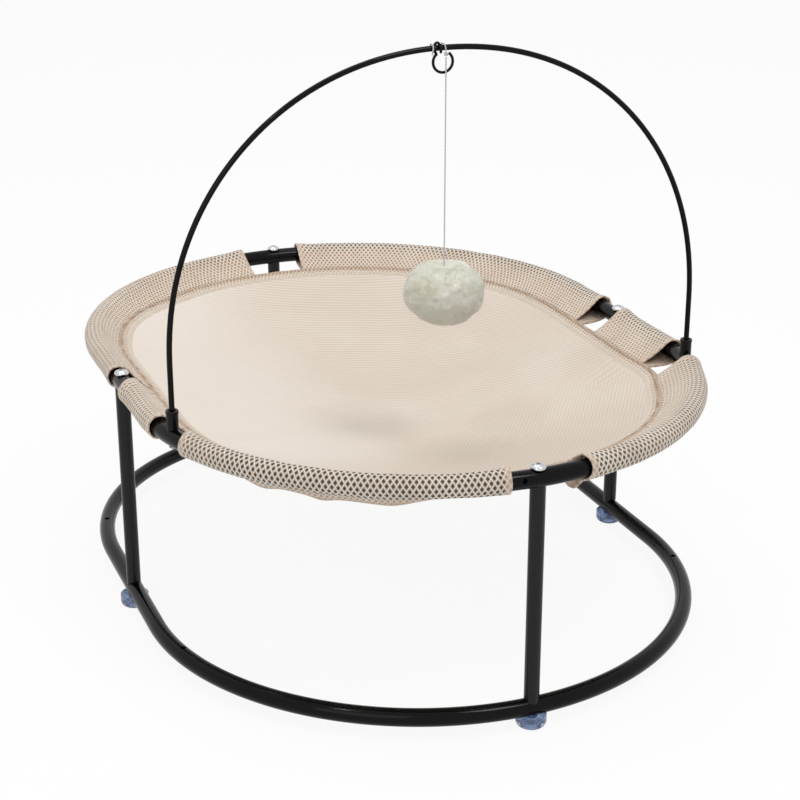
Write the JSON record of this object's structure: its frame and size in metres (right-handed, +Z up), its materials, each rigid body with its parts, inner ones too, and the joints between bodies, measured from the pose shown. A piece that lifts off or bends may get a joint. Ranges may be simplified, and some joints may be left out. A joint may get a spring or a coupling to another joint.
{
  "type": "cat lounger",
  "caption": "Raised oval cat bed: a mesh sling on a screwed tube frame, with a lift-out wire arch that holds a pompom on a string.",
  "frame": {"origin": "on the floor, under the middle of the bed", "axes": "+Z up, +Y along the bed from its front leg to its back leg, +X from its left leg to its right leg"},
  "size_m": [0.547, 0.7156, 0.5513],
  "materials": {
    "black_paint": "gloss black powder coat",
    "black_plastic": "satin black moulding",
    "plain_steel": "plain turned steel",
    "chrome_plate": "bright plated screws",
    "blue_clear": "clear blue-grey soft plastic",
    "beige_mesh": "beige open mesh with round holes",
    "cream_mesh": "fine cream mesh",
    "white_string": "thin white string",
    "cream_plush": "short cream pile"
  },
  "bodies": {
    "frame": {"upper_tube_right": "black_paint", "upper_tube_left": "black_paint", "base_tube_right": "black_paint", "base_tube_left": "black_paint", "leg_front": "black_paint", "top_plug_front": "plain_steel", "low_plug_front": "plain_steel", "top_screw_front": "chrome_plate", "foot_screw_front": "chrome_plate", "foot_front": "blue_clear", "leg_right": "black_paint", "top_plug_right": "plain_steel", "low_plug_right": "plain_steel", "top_screw_right": "chrome_plate", "foot_screw_right": "chrome_plate", "foot_right": "blue_clear", "leg_back": "black_paint", "top_plug_back": "plain_steel", "low_plug_back": "plain_steel", "top_screw_back": "chrome_plate", "foot_screw_back": "chrome_plate", "foot_back": "blue_clear", "leg_left": "black_paint", "top_plug_left": "plain_steel", "low_plug_left": "plain_steel", "top_screw_left": "chrome_plate", "foot_screw_left": "chrome_plate", "foot_left": "blue_clear", "arch_socket_right": "black_plastic", "socket_screw_right": "plain_steel", "sleeve_right": "beige_mesh", "sleeve_front_right": "beige_mesh", "sleeve_back_right": "beige_mesh", "arch_socket_left": "black_plastic", "socket_screw_left": "plain_steel", "sleeve_left": "beige_mesh", "sleeve_front_left": "beige_mesh", "sleeve_back_left": "beige_mesh", "seat_border": "beige_mesh", "seat_panel": "cream_mesh"},
    "arch": {"arch_rod": "black_paint"},
    "hanger": {"toy_eye": "black_paint", "toy_hitch": "white_string"},
    "toy": {"toy_string": "white_string", "toy_pompom": "cream_plush"}
  },
  "joints": [
    {"name": "arch_lift", "type": "slide", "parent": "frame", "child": "arch", "axis": [0, 0, 1], "range_m": [0, 0.04]},
    {"name": "toy_swing_fore_aft", "type": "hinge", "parent": "arch", "child": "hanger", "pos_m": [-0.003, -0.149, 0.54589], "axis": [1, 0, 0], "range_deg": [-80, 80]},
    {"name": "toy_swing_sideways", "type": "hinge", "parent": "hanger", "child": "toy", "pos_m": [-0.0015, -0.1522, 0.54069], "axis": [0, 1, 0], "range_deg": [-50, 50]}
  ]
}
